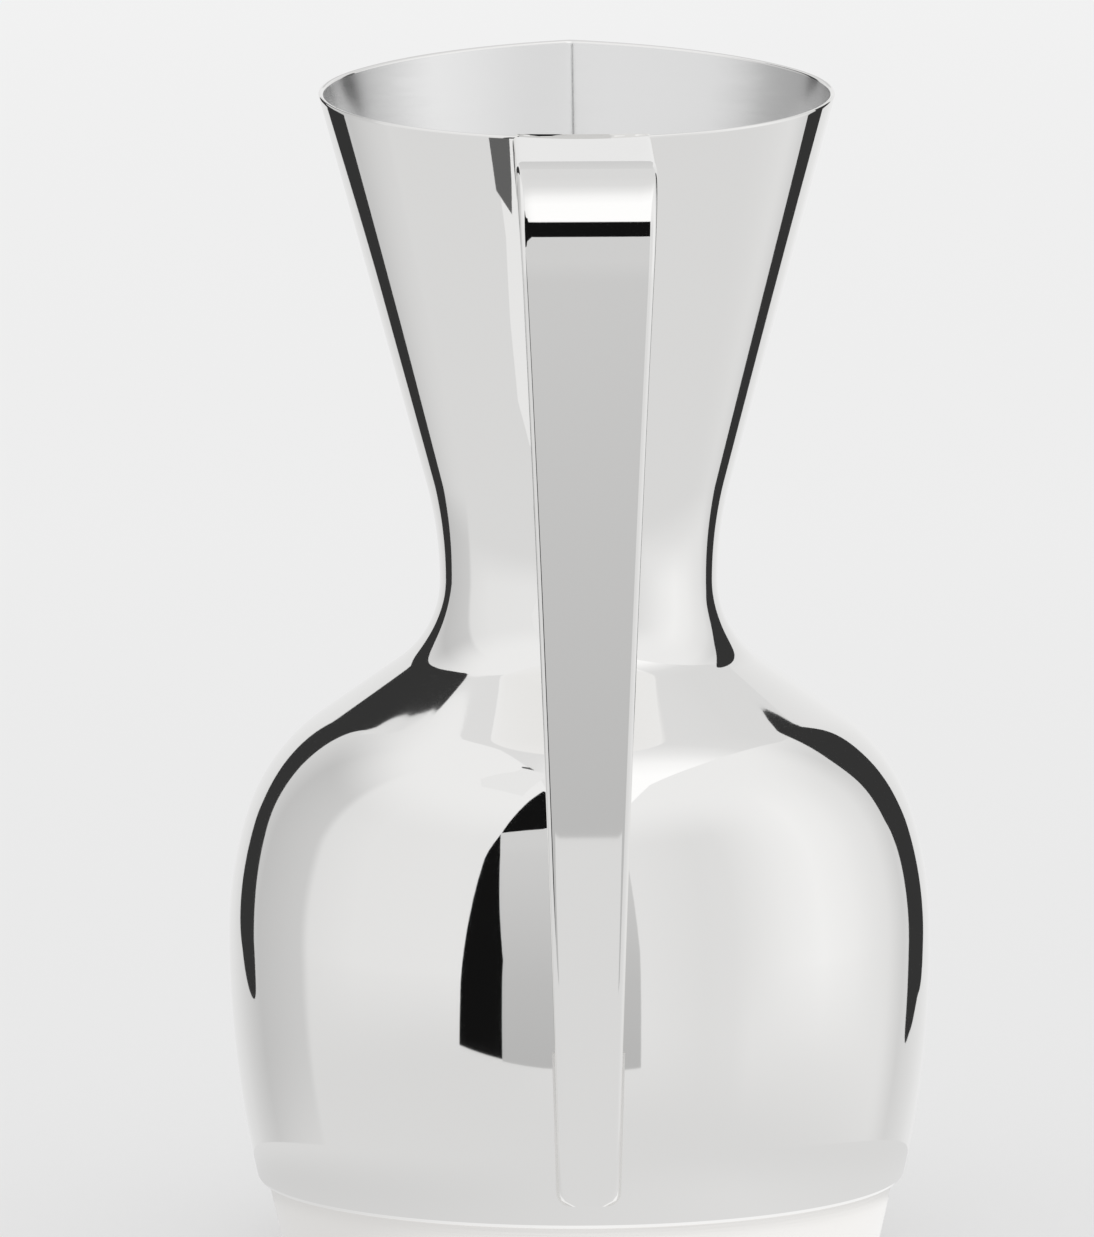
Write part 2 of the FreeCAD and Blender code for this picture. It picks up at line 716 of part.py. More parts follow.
def handle_top_solder(vessel, handle):
    """Bead in the corner under the strap, following the neck."""
    bead = doc.addObject("Part::Torus", "top_bead")
    below = "( rim_height - strap_start * tan( rim_tilt ) - strap_thick )"
    flared = f"( {below} - throat_height ) * tan( flare )"
    bead.setExpression("Radius1", cell(f"throat_radius + neck_curve - neck_curve / cos( flare ) + {flared}"))
    bead.setExpression("Radius2", cell("fillet_leg"))
    bead.setExpression("Placement.Base.z", cell(below))
    band = doc.addObject("Part::Box", "top_bead_span")
    band.setExpression("Length", cell("strap_width - 2 * fillet_leg"))
    band.setExpression("Width", cell("belly_radius"))
    band.setExpression("Height", cell("6 * fillet_leg"))
    band.setExpression("Placement.Base.x", cell("fillet_leg - strap_width / 2"))
    band.setExpression("Placement.Base.y", cell("-1 * belly_radius"))
    band.setExpression("Placement.Base.z", cell(f"{below} - 3 * fillet_leg"))
    spanned = common("top_bead_arc", bead, band)
    outside = cut("top_bead_outside", spanned, vessel)
    return cut("handle_top_solder", outside, handle)


def handle_foot_solder(vessel, handle):
    """Thin fillet around the strap's lower end, lying on the belly."""
    skin = new_body("seam_skin")
    revolve(skin, belly_sketch(skin, -size("seam"), "0 - seam"), "seam_skin_belly")
    doc.recompute()
    outline = front_pad("seam_front", size("seam"), "seam")
    reach = drum("seam_reach", "belly_radius + wall", "foot_height", "seam_height - foot_height")
    patch = common("seam_patch", common("seam_band", skin, reach), outline)
    outside = cut("seam_outside", patch, vessel)
    return cut("handle_foot_solder", outside, handle)


# ---------------------------------------------------------------- assembly


def assemble():
    """All sub-parts, by the name of the file each is written to."""
    vessel = vessel_form("vessel_form", 0, "0")
    round_bottom(vessel, size("foot_height"), "bottom_round")
    cavity = vessel_form("cavity_form", size("wall"), "wall")
    hollow = cut("hollow_vessel", vessel, cavity)
    below = drum("below_throat", "2 * belly_radius", "0", "throat_height")
    above = drum("above_throat", "2 * belly_radius", "throat_height", "blank_height")
    band = foot_band()
    doc.recompute()
    parts = {
        "body": common("body", hollow, below),
        "neck": cut("neck", common("neck_blank", hollow, above), rim_cutter()),
        "base_plate": common("base_plate", plate_blank(), cavity),
        "foot_band": band,
        "handle": strap_handle(vessel),
        "throat_solder": throat_solder(cavity),
        "foot_solder": foot_solder(band),
    }
    parts["handle_top_solder"] = handle_top_solder(vessel, parts["handle"])
    parts["handle_foot_solder"] = handle_foot_solder(vessel, parts["handle"])
    doc.recompute()
    for name, part in parts.items():
        part.Label = name
    return parts


def check(parts):
    """Stops if a feature failed or a sub-part isn't one valid solid."""
    for item in doc.Objects:
        if "Invalid" in item.State or "Error" in item.State:
            raise RuntimeError(f"{item.Name} has not recomputed")
    for name, part in parts.items():
        shape = part.Shape
        if shape.isNull() or not shape.isValid() or len(shape.Solids) != 1:
            raise RuntimeError(f"{name} is not one valid solid")


def write(parts):
    os.makedirs("parts", exist_ok=True)
    for name, part in parts.items():
        part.Shape.exportStep(os.path.join("parts", f"{name}.step"))
        print(f"{name}: {part.Shape.Volume:.1f} mm3")


pitcher = assemble()
check(pitcher)
write(pitcher)
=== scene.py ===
"""Studio picture of the silver water pitcher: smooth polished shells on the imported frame."""

import math

import bmesh
import bpy
from mathutils import Matrix, Vector


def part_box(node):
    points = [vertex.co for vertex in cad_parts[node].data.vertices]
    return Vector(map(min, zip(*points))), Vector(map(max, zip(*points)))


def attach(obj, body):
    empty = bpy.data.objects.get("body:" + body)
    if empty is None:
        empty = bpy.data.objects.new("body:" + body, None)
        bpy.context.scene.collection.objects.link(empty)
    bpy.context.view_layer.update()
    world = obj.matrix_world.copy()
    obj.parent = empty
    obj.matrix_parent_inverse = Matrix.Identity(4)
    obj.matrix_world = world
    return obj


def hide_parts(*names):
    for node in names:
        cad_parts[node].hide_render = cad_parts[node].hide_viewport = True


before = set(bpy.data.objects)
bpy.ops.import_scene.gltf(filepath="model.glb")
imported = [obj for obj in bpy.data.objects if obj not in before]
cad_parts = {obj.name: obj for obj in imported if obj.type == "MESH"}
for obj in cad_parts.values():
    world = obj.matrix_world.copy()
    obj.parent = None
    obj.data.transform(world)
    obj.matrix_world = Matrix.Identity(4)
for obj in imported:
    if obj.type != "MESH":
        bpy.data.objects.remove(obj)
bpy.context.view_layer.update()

MM = 0.001


# ---------------------------------------------------------------- sizes

# Metres and radians; box corners come from the frame.

BODY_LOW, BODY_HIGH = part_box("body")
FOOT_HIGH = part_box("foot_band")[1]
STRAP_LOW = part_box("handle")[0]

FOOT_TOP = BODY_LOW.z
THROAT_Z = BODY_HIGH.z
WALL = 1.0 * MM

BELLY_RADIUS = min(BODY_HIGH.x, BODY_HIGH.y, -BODY_LOW.x)
BELLY_Z = 64.0 * MM
LOWER_CURVE = 224.0 * MM
UPPER_CURVE = 85.0 * MM
SHOULDER_CURVE = 40.0 * MM
SHOULDER_SLOPE = math.radians(55.3)
THROAT_RADIUS = 28.6 * MM
THROAT_CURVE = 20.0 * MM
NECK_CURVE = 76.4 * MM
FLARE = math.radians(15.2)
BOTTOM_ROUND = 0.8 * MM
BOTTOM_TURN = -0.2  # where the rounded bottom edge runs into the belly, in radians

RIM_Z = 237.6 * MM
RIM_TILT = math.radians(7.3)
BLANK_Z = 255.0 * MM
LIP_REACH = 10.5 * MM
LIP_SPREAD = math.radians(60)

STRAP_THICK = 4.5 * MM
STRAP_WIDTH = 27.9 * MM
STRAP_START = THROAT_RADIUS + 18.0 * MM
STRAP_FLAT = 78.0 * MM
BEND_RADIUS = 20.0 * MM
END_HEIGHT = STRAP_LOW.z
END_REACH = 71.4 * MM
END_THICK = 3.2 * MM
END_WIDTH = 12.0 * MM
END_CORNER = 2.5 * MM
END_LEAST_HALF = 3.6 * MM
TAPER_Z = 227.6 * MM
STRAP_EDGE = 1.3 * MM
STRAP_SUNK = 0.95 * WALL  # how far the strap reaches into the wall of the neck
FOOT_WALL = 1.8 * MM
FOOT_EDGE = 0.3 * MM
FOOT_BOTTOM_RADIUS = 61.9 * MM
WAIST = 0.7 * MM

# How many steps each stretch of a shape is divided into.
AROUND = 288
LOWER_STEPS = 60
ARC_STEPS = 40
SLOPE_STEPS = 16
BOTTOM_STEPS = 6
LIP_BACK_STEPS = 192
LIP_SIDE_STEPS = 72
THROAT_STEPS = 24
NECK_STEPS = 120
RIM_STEPS = 8
FLAT_STEPS = 40
BEND_STEPS = 48
DROP_STEPS = 160
ACROSS_STEPS = 12
CORNER_STEPS = 6
FOOT_STEPS = 10
OUTLINE_STEPS = 8
ROUND_TABLE_STEPS = 96
WALL_STEPS = 48
SHARP_ANGLE = math.radians(35)  # edges sharper than this stay sharp


# ---------------------------------------------------------------- mesh helpers


def arc_points(centre, radius, first, last, count):
    """Points (r, z) along an arc, from one angle to another."""
    points = []
    for i in range(count + 1):
        angle = first + (last - first) * i / count
        points.append((centre[0] + radius * math.cos(angle), centre[1] + radius * math.sin(angle)))
    return points


def new_piece(name, vertices, faces):
    """A smooth-shaded piece with its faces turned outwards, fixed to the pitcher."""
    mesh = bpy.data.meshes.new(name)
    mesh.from_pydata(vertices, [], faces)
    mesh.validate()
    outward = bmesh.new()
    outward.from_mesh(mesh)
    bmesh.ops.recalc_face_normals(outward, faces=outward.faces)
    outward.to_mesh(mesh)
    outward.free()
    mesh.shade_smooth()
    mesh.set_sharp_from_angle(angle=SHARP_ANGLE)
    piece = bpy.data.objects.new(name, mesh)
    bpy.context.scene.collection.objects.link(piece)
    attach(piece, "root")
    return piece


def grid_faces(rows, columns, closed_rows):
    """Quads between successive rings of vertices; closed_rows joins the last ring to the first."""
    faces = []
    for i in range(rows if closed_rows else rows - 1):
        upper = i * columns
        lower = ((i + 1) % rows) * columns
        for j in range(columns):
            k = (j + 1) % columns
            faces.append((upper + j, lower + j, lower + k, upper + k))
    return faces


def circle_points(radius, z, count):
    """Points (x, y, z) evenly round the axis."""
    points = []
    for j in range(count):
        angle = 2 * math.pi * j / count
        points.append((radius * math.cos(angle), radius * math.sin(angle), z))
    return points


def turned(name, outline):
    """A closed shell turned from an outline of (r, z) points."""
    vertices = [point for r, z in outline for point in circle_points(r, z, AROUND)]
    return new_piece(name, vertices, grid_faces(len(outline), AROUND, True))


# ---------------------------------------------------------------- body


def belly_outline(inset):
    """Half outline of the belly and shoulder from the bottom edge to the throat, moved inwards by inset."""
    normal = Vector((math.cos(SHOULDER_SLOPE), math.sin(SHOULDER_SLOPE)))
    low_centre = Vector((BELLY_RADIUS - LOWER_CURVE, BELLY_Z))
    up_centre = Vector((BELLY_RADIUS - UPPER_CURVE, BELLY_Z))
    throat_centre = Vector((THROAT_RADIUS + THROAT_CURVE, THROAT_Z))
    across = (throat_centre - up_centre).dot(normal) - SHOULDER_CURVE - THROAT_CURVE
    turn = SHOULDER_SLOPE - math.acos(across / (UPPER_CURVE - SHOULDER_CURVE))
    shoulder_centre = up_centre + (UPPER_CURVE - SHOULDER_CURVE) * Vector((math.cos(turn), math.sin(turn)))
    first = -math.asin((BELLY_Z - FOOT_TOP) / (LOWER_CURVE - inset))
    points = arc_points(low_centre, LOWER_CURVE - inset, first, 0, LOWER_STEPS)
    points += arc_points(up_centre, UPPER_CURVE - inset, 0, turn, ARC_STEPS)[1:]
    points += arc_points(shoulder_centre, SHOULDER_CURVE - inset, turn, SHOULDER_SLOPE, ARC_STEPS)[1:]
    end_angle = math.pi + SHOULDER_SLOPE
    hollow = arc_points(throat_centre, THROAT_CURVE + inset, end_angle, math.pi, ARC_STEPS)
    start, finish = Vector(points[-1]), Vector(hollow[0])
    for i in range(1, SLOPE_STEPS):
        points.append(tuple(start.lerp(finish, i / SLOPE_STEPS)))
    return points + hollow


def body_shell():
    """Belly and shoulder as one sheet, with the bottom edge rounded on the outside."""
    outer = belly_outline(0)
    inner = belly_outline(WALL)
    edge = outer[0]
    centre = (edge[0] - BOTTOM_ROUND, edge[1] + BOTTOM_ROUND)
    corner = arc_points(centre, BOTTOM_ROUND, -math.pi / 2, BOTTOM_TURN, BOTTOM_STEPS)
    above = [p for p in outer if p[1] > FOOT_TOP + BOTTOM_ROUND]
    outline = corner + above + inner[::-1]
    return turned("body_shell", outline)


# ---------------------------------------------------------------- neck


def lip_section(radius, reach):
    """Points of a circle drawn out at +Y to a softly creased lip, from the crease round by -X and back."""
    tip = radius + reach
    middle = radius - tip * math.cos(LIP_SPREAD)
    side = (radius**2 + tip**2 - 2 * radius * tip * math.cos(LIP_SPREAD)) / (2 * middle)
    start = math.pi / 2 - LIP_SPREAD
    shift = radius - side
    right = (shift * math.cos(start), shift * math.sin(start))
    left = (-right[0], right[1])
    peak = math.atan2(tip - right[1], -right[0])
    points = arc_points(left, side, math.pi - peak, math.pi - start, LIP_SIDE_STEPS)
    points += arc_points((0, 0), radius, math.pi - start, 2 * math.pi + start, LIP_BACK_STEPS)[1:]
    points += arc_points(right, side, start, peak, LIP_SIDE_STEPS)[1:-1]
    points[0] = (0, (points[0][1] + points[1][1]) / 2)
    return points


def neck_rows(inset):
    """Rings of points from the throat to the tilted rim, on the surface moved inwards by inset."""
    curve = NECK_CURVE + inset
    flare_z = THROAT_Z + curve * math.sin(FLARE)
    flare_r = THROAT_RADIUS + NECK_CURVE - curve * math.cos(FLARE)
    rise = BLANK_Z - flare_z
    slope = math.tan(RIM_TILT)
    low = lip_section(flare_r, 0)
    high = lip_section(flare_r + rise * math.tan(FLARE), LIP_REACH)
    rows = []
    centre = (THROAT_RADIUS + NECK_CURVE, THROAT_Z)
    throat = arc_points(centre, curve, math.pi, math.pi - FLARE, THROAT_STEPS)
    for r, z in throat[:-1]:
        rows.append([(x * r / flare_r, y * r / flare_r, z) for x, y in low])
    shares = []
    for (_, y0), (_, y1) in zip(low, high):
        shares.append((RIM_Z + y0 * slope - flare_z) / (rise - (y1 - y0) * slope))
    for i in range(NECK_STEPS + 1):
        row = []
        for (x0, y0), (x1, y1), share in zip(low, high, shares):
            t = share * i / NECK_STEPS
            row.append((x0 + (x1 - x0) * t, y0 + (y1 - y0) * t, flare_z + rise * t))
        rows.append(row)
    return rows


def rounded_rim(outer, inner, below_outer):
    """Half-round rows that lead over the rim from the outer to the inner surface."""
    rows = []
    for i in range(1, RIM_STEPS):
        angle = math.pi * i / RIM_STEPS
        row = []
        for points in zip(outer, inner, below_outer):
            start, end, under = (Vector(point) for point in points)
            middle = (start + end) / 2
            up = (start - under).normalized() * (start - end).length / 2
            row.append(tuple(middle + (start - middle) * math.cos(angle) + up * math.sin(angle)))
        rows.append(row)
    return rows


def lowered(row, below, drop):
    """A ring of points moved down the wall by drop."""
    moved = []
    for point, under in zip(row, below):
        down = (Vector(under) - Vector(point)).normalized()
        moved.append(tuple(Vector(point) + down * drop))
    return moved


def neck_shell():
    """The neck with its rounded rim; its inside takes the second material."""
    outer = neck_rows(0)
    inner = neck_rows(WALL)
    outer[-1] = lowered(outer[-1], outer[-2], WALL / 2)
    inner[-1] = lowered(inner[-1], inner[-2], WALL / 2)
    rim = rounded_rim(outer[-1], inner[-1], outer[-2])
    rows = outer + rim + inner[::-1]
    columns = len(rows[0])
    vertices = [point for row in rows for point in row]
    shell = new_piece("neck_shell", vertices, grid_faces(len(rows), columns, True))
    first_inner = (len(outer) + len(rim)) * columns
    for polygon in shell.data.polygons:
        if min(polygon.vertices) >= first_inner:
            polygon.material_index = 1
    return shell


# ---------------------------------------------------------------- handle


def strap_path():
    """Stations along the strap: (outer point, inner point) in the side view as (y, z)."""
    down = Vector((math.sin(RIM_TILT), -math.cos(RIM_TILT)))

    def rim_point(distance):
        return Vector((-distance, RIM_Z - distance * math.tan(RIM_TILT)))

    turn = rim_point(STRAP_FLAT)
    centre = turn + BEND_RADIUS * down
    outer_end = Vector((-END_REACH, END_HEIGHT))
    gap = outer_end - centre
    lean = math.atan2(gap.y, gap.x) - math.acos(BEND_RADIUS / gap.length)
    top_angle = math.atan2(-down.y, -down.x)
    low_angle = lean % (2 * math.pi)
    stations = []
    start = rim_point(STRAP_START)
    for i in range(FLAT_STEPS):
        outer = start.lerp(turn, i / FLAT_STEPS)
        stations.append((outer, outer + STRAP_THICK * down))
    for i in range(BEND_STEPS + 1):
        angle = top_angle + (low_angle - top_angle) * i / BEND_STEPS
        out = Vector((math.cos(angle), math.sin(angle)))
        stations.append((centre + BEND_RADIUS * out, centre + (BEND_RADIUS - STRAP_THICK) * out))
    outer_low, inner_low = stations[-1]
    inner_end = outer_end + Vector((END_THICK, 0))
    for i in range(1, DROP_STEPS + 1):
        share = i / DROP_STEPS
        stations.append((outer_low.lerp(outer_end, share), inner_low.lerp(inner_end, share)))
    return stations


def strap_half_width(z):
    """Half the strap's width at a height, with the slight inward bow of its tapering sides."""
    wide, narrow = STRAP_WIDTH / 2, END_WIDTH / 2
    low = END_HEIGHT + END_CORNER
    if z >= TAPER_Z:
        return wide
    if z < low:
        drop = min(low - z, END_CORNER)
        return narrow - END_CORNER + math.sqrt(END_CORNER**2 - drop**2)
    share = (z - low) / (TAPER_Z - low)
    return narrow + (wide - narrow) * share - 4 * WAIST * share * (1 - share)


def strap_section(outer, inner):
    """Closed ring of points across the strap, with rounded edges."""
    half = max(strap_half_width(outer.y), END_LEAST_HALF)
    flat = half - STRAP_EDGE
    across = outer - inner
    thick = across.length
    unit = across / thick
    ring = []

    def add(x, depth):
        spot = inner + unit * depth
        ring.append((x, spot.x, spot.y))

    def corner(sign, at_outer):
        for i in range(CORNER_STEPS + 1):
            angle = (math.pi / 2) * i / CORNER_STEPS
            sweep = angle if (sign > 0) == at_outer else math.pi / 2 - angle
            depth = STRAP_EDGE - STRAP_EDGE * math.cos(sweep)
            add(sign * (flat + STRAP_EDGE * math.sin(sweep)), thick - depth if at_outer else depth)

    for i in range(ACROSS_STEPS):
        add(-flat + 2 * flat * i / ACROSS_STEPS, thick)
    corner(1, True)
    corner(1, False)
    for i in range(1, ACROSS_STEPS):
        add(flat - 2 * flat * i / ACROSS_STEPS, 0)
    corner(-1, False)
    corner(-1, True)
    return ring[:-1]


def strap_handle():
    """The bent strap, its top cut to the round of the neck's wall."""
    rows = [strap_section(outer, inner) for outer, inner in strap_path()]
    columns = len(rows[0])
    vertices = []
    for row in rows:
        for x, y, z in row:
            wall = neck_radius(z) - STRAP_SUNK
            if z > THROAT_Z and math.hypot(x, y) < wall:
                y = -math.sqrt(wall**2 - x**2)
            vertices.append((x, y, z))
    faces = grid_faces(len(rows), columns, False)
    faces.append(tuple(range(columns)))
    last = (len(rows) - 1) * columns
    faces.append(tuple(reversed(range(last, last + columns))))
    return new_piece("strap_handle", vertices, faces)


def neck_radius(z):
    """Outer radius of the round part of the neck at a height above its curve."""
    flare_z = THROAT_Z + NECK_CURVE * math.sin(FLARE)
    flare_r = THROAT_RADIUS + NECK_CURVE - NECK_CURVE * math.cos(FLARE)
    return flare_r + (z - flare_z) * math.tan(FLARE)


# ---------------------------------------------------------------- foot


def foot_ring():
    """The tapering band under the belly, with its lower edges chamfered."""
    top = FOOT_HIGH.z
    wide, narrow = FOOT_HIGH.x, FOOT_BOTTOM_RADIUS
    corners = [
        (narrow - FOOT_WALL + FOOT_EDGE, 0),
        (narrow - FOOT_EDGE, 0),
        (narrow, FOOT_EDGE),
        (wide, top),
        (wide - FOOT_WALL, top),
        (narrow - FOOT_WALL, FOOT_EDGE),
    ]
    outline = []
    for (r0, z0), (r1, z1) in zip(corners, corners[1:] + corners[:1]):
        for i in range(FOOT_STEPS):
            outline.append((r0 + (r1 - r0) * i / FOOT_STEPS, z0 + (z1 - z0) * i / FOOT_STEPS))
    return turned("foot_ring", outline)


# ---------------------------------------------------------------- materials


def add_node(tree, kind, links=None, **values):
    """Adds a node; links and values are given by socket or property name."""
    made = tree.nodes.new(kind)
    for name, value in values.items():
        setattr(made, name, value)
    for socket, value in (links or {}).items():
        if isinstance(value, bpy.types.NodeSocket):
            tree.links.new(value, made.inputs[socket])
        else:
            made.inputs[socket].default_value = value
    return made


def shader_material(name, color, metallic, roughness):
    """A new material; returns it with its node tree and its shader."""
    material = bpy.data.materials.new(name)
    material.use_nodes = True
    shader = material.node_tree.nodes["Principled BSDF"]
    shader.inputs["Base Color"].default_value = (*color, 1)
    shader.inputs["Metallic"].default_value = metallic
    shader.inputs["Roughness"].default_value = roughness
    return material, material.node_tree, shader


def streaks(tree, stretch, detail=4.0):
    """Noise in object space, stretched by a scale on each axis."""
    place = add_node(tree, "ShaderNodeTexCoord")
    mapping = add_node(tree, "ShaderNodeMapping", {"Vector": place.outputs["Object"], "Scale": stretch})
    sockets = {"Vector": mapping.outputs[0], "Scale": 1.0, "Detail": detail}
    return add_node(tree, "ShaderNodeTexNoise", sockets).outputs["Fac"]


def remap(tree, value, low, high):
    """Stretches a value between 0 and 1 to lie between low and high."""
    sockets = {"Value": value, "To Min": low, "To Max": high}
    return add_node(tree, "ShaderNodeMapRange", sockets).outputs["Result"]


def polished_silver():
    """Mirror polish with buffing haze, hair scratches and the slight unevenness of hammered sheet."""
    color = (0.965, 0.96, 0.95)
    material, tree, shader = shader_material("polished_silver", color, metallic=1, roughness=0.03)
    haze = streaks(tree, (30, 30, 30), detail=5)
    tree.links.new(remap(tree, haze, low=0.012, high=0.055), shader.inputs["Roughness"])
    uneven = streaks(tree, (9, 9, 13), detail=1)
    scratch = streaks(tree, (1400, 1400, 90), detail=2)
    sheet = add_node(tree, "ShaderNodeBump", {"Height": uneven, "Strength": 0.25, "Distance": 0.0006})
    sockets = {"Height": scratch, "Strength": 0.02, "Distance": 0.00002, "Normal": sheet.outputs[0]}
    fine = add_node(tree, "ShaderNodeBump", sockets)
    tree.links.new(fine.outputs[0], shader.inputs["Normal"])
    return material


# The inside's brightness in the middle and at the sides, darker there as a painted reflection of dark
# surroundings, and the distances to the side where it changes.
INSIDE_MIDDLE_LEVEL = 0.9
INSIDE_SIDE_LEVEL = 0.66
INSIDE_SIDES = (31 * MM, 49 * MM)
INSIDE_RAGGED = 6 * MM


def brushed_silver():
    """The inside, rubbed to a soft shine that keeps faint lines, a little darker at the two sides as a
    painted reflection of dark surroundings.
    """
    color = (0.9, 0.893, 0.88)
    material, tree, shader = shader_material("brushed_silver", color, metallic=1, roughness=0.22)
    lines = streaks(tree, (25, 25, 3500), detail=3)
    tree.links.new(remap(tree, lines, low=0.17, high=0.29), shader.inputs["Roughness"])
    # painted reflection: the base colour darkens towards the two sides, standing in for dark surroundings
    # seen in the metal
    side = math_node(tree, "ABSOLUTE", coordinates(tree, "Object")[0], 0.0)
    ragged = math_node(tree, "MULTIPLY", streaks(tree, (60, 60, 400)), INSIDE_RAGGED)
    share = math_node(tree, "ADD", side, ragged)
    shade = blend(tree, share, *INSIDE_SIDES, INSIDE_MIDDLE_LEVEL, INSIDE_SIDE_LEVEL)
    tree.links.new(shade, shader.inputs["Base Color"])
    bump = add_node(tree, "ShaderNodeBump", {"Height": lines, "Strength": 0.06, "Distance": 0.00003})
    tree.links.new(bump.outputs[0], shader.inputs["Normal"])
    return material


def satin_silver():
    """The foot band: warmer, with a soft lengthwise grain."""
    color = (0.98, 0.965, 0.945)
    material, tree, shader = shader_material("satin_silver", color, metallic=1, roughness=0.2)
    lines = streaks(tree, (40, 40, 2500), detail=3)
    tree.links.new(remap(tree, lines, low=0.14, high=0.26), shader.inputs["Roughness"])
    bump = add_node(tree, "ShaderNodeBump", {"Height": lines, "Strength": 0.3, "Distance": 0.00003})
    tree.links.new(bump.outputs[0], shader.inputs["Normal"])
    return material


def plain_silver():
    """Metal as it leaves the torch and the pickle: matt, with a faint mottling."""
    color = (0.9, 0.89, 0.87)
    material, tree, shader = shader_material("plain_silver", color, metallic=1, roughness=0.3)
    mottle = streaks(tree, (220, 220, 220), detail=6)
    tree.links.new(remap(tree, mottle, low=0.22, high=0.42), shader.inputs["Roughness"])
    return material


def paint(piece, *materials):
    """Gives the piece these materials; faces keep their slot numbers."""
    slots = [polygon.material_index for polygon in piece.data.polygons]
    piece.data.materials.clear()
    for material in materials:
        piece.data.materials.append(material)
    if len(materials) > 1:
        piece.data.polygons.foreach_set("material_index", slots)


# ---------------------------------------------------------------- surroundings

# Brightness of the studio at the pitcher's height: (degrees from the camera's side towards +X, level).
STUDIO_RING = [
    (-180, 0.83),
    (-160, 0.76),
    (-132, 0.54),
    (-105, 0.61),
    (-101, 0.75),
    (-80, 0.79),
    (-45, 0.80),
    (20, 0.77),
    (40, 0.74),
    (50, 0.75),
    (60, 0.80),
    (70, 0.85),
    (85, 0.90),
    (100, 0.86),
    (110, 0.81),
    (120, 0.77),
    (131, 0.65),
    (152, 0.76),
    (168, 0.85),
    (180, 0.83),
]
# The brightest that the studio is below the horizon, to the left and to the right, and its level overhead.
BELOW_LEFT = 0.705
BELOW_RIGHT = 0.785
UPPER_LEVEL = 0.86
# Where one of these passes into the next, by the x or the z of the direction.
LEFT_TO_RIGHT = (-0.5, 0.3)
HORIZON_TO_BELOW = (-0.1, -0.3)
BELOW_TO_TABLE = (-0.22, -0.43)
HORIZON_TO_UPPER = (0.5, 0.85)

# Brightness of the table close to the pitcher, darker there as painted shade, and round its foot, brighter
# as a painted pool of light, by x in metres, and the distances from the axis where the foot's painted light
# passes into the near table and that into the plain table.
NEAR_TABLE = [(-0.15, 0.61), (-0.06, 0.67), (0.0, 0.71), (0.06, 0.74), (0.1, 0.72), (0.15, 0.67)]
FOOT_GLOW = [(-0.065, 0.72), (-0.03, 0.86), (0.0, 0.93), (0.065, 0.93)]
TABLE_SPAN = 0.2
TABLE_RADIUS = 0.125
TABLE_LEVEL = 0.705
FOOT_TO_NEAR = (0.078, 0.084)
NEAR_TO_TABLE = (0.095, TABLE_RADIUS)


def ramp(tree, value, low, high, stops):
    """A brightness that follows value through the stops."""
    sockets = {"Value": value, "From Min": low, "From Max": high}
    share = add_node(tree, "ShaderNodeMapRange", sockets).outputs["Result"]
    made = add_node(tree, "ShaderNodeValToRGB", {"Fac": share})
    elements = made.color_ramp.elements
    while len(elements) < len(stops):
        elements.new(0.5)
    for element, (place, level) in zip(elements, stops):
        element.position = (place - low) / (high - low)
        element.color = (level, level, level, 1)
    return made.outputs["Color"]


def math_node(tree, operation, first, second):
    """The result of an operation on two values or sockets."""
    return add_node(tree, "ShaderNodeMath", {0: first, 1: second}, operation=operation).outputs[0]


def blend(tree, value, start, end, first, second):
    """Goes smoothly from first to second while value goes from start to end."""
    sockets = {"Value": value, "From Min": start, "From Max": end}
    smooth = add_node(tree, "ShaderNodeMapRange", sockets, interpolation_type="SMOOTHSTEP")
    sockets = {"Factor": smooth.outputs["Result"], "A": first, "B": second}
    return add_node(tree, "ShaderNodeMix", sockets).outputs["Result"]


def ring_level(tree, x, y):
    """Brightness of the studio in the direction (x, y)."""
    azimuth = math_node(tree, "ARCTAN2", x, math_node(tree, "MULTIPLY", y, -1.0))
    stops = [(math.radians(degrees), level) for degrees, level in STUDIO_RING]
    return ramp(tree, azimuth, -math.pi, math.pi, stops)


def distance_from_axis(tree, x, y):
    """How far the point (x, y) lies from the pitcher's axis."""
    square = math_node(tree, "ADD", math_node(tree, "MULTIPLY", x, x), math_node(tree, "MULTIPLY", y, y))
    return math_node(tree, "SQRT", square, 0.0)


def coordinates(tree, output):
    """The x, y and z of a texture coordinate."""
    place = add_node(tree, "ShaderNodeTexCoord")
    return add_node(tree, "ShaderNodeSeparateXYZ", {"Vector": place.outputs[output]}).outputs


def build_world():
    """A pale studio whose walls differ round the pitcher."""
    world = bpy.data.worlds.new("studio")
    bpy.context.scene.world = world
    world.use_nodes = True
    tree = world.node_tree
    tree.nodes.clear()
    x, y, z = coordinates(tree, "Generated")
    ring = ring_level(tree, x, y)
    below = blend(tree, x, *LEFT_TO_RIGHT, BELOW_LEFT, BELOW_RIGHT)
    level = blend(tree, z, *HORIZON_TO_BELOW, ring, math_node(tree, "MINIMUM", ring, below))
    level = blend(tree, z, *BELOW_TO_TABLE, level, TABLE_LEVEL)
    level = blend(tree, z, *HORIZON_TO_UPPER, level, UPPER_LEVEL)
    background = add_node(tree, "ShaderNodeBackground", {"Color": level})
    output = add_node(tree, "ShaderNodeOutputWorld")
    tree.links.new(background.outputs[0], output.inputs[0])


def glow_material(name):
    """A material that only shines; returns it with the socket for its brightness."""
    material = bpy.data.materials.new(name)
    material.use_nodes = True
    tree = material.node_tree
    tree.nodes.clear()
    glow = add_node(tree, "ShaderNodeEmission")
    output = add_node(tree, "ShaderNodeOutputMaterial")
    tree.links.new(glow.outputs[0], output.inputs[0])
    return material, glow.inputs["Color"]


def even_glow(name, level):
    """Shines with the same brightness everywhere."""
    material, brightness = glow_material(name)
    brightness.default_value = (level, level, level, 1)
    return material


def rising_glow(name, low, high, stops):
    """Shines by height: stops are (height, brightness)."""
    material, brightness = glow_material(name)
    tree = material.node_tree
    height = coordinates(tree, "Object")[2]
    tree.links.new(ramp(tree, height, low, high, stops), brightness)
    return material


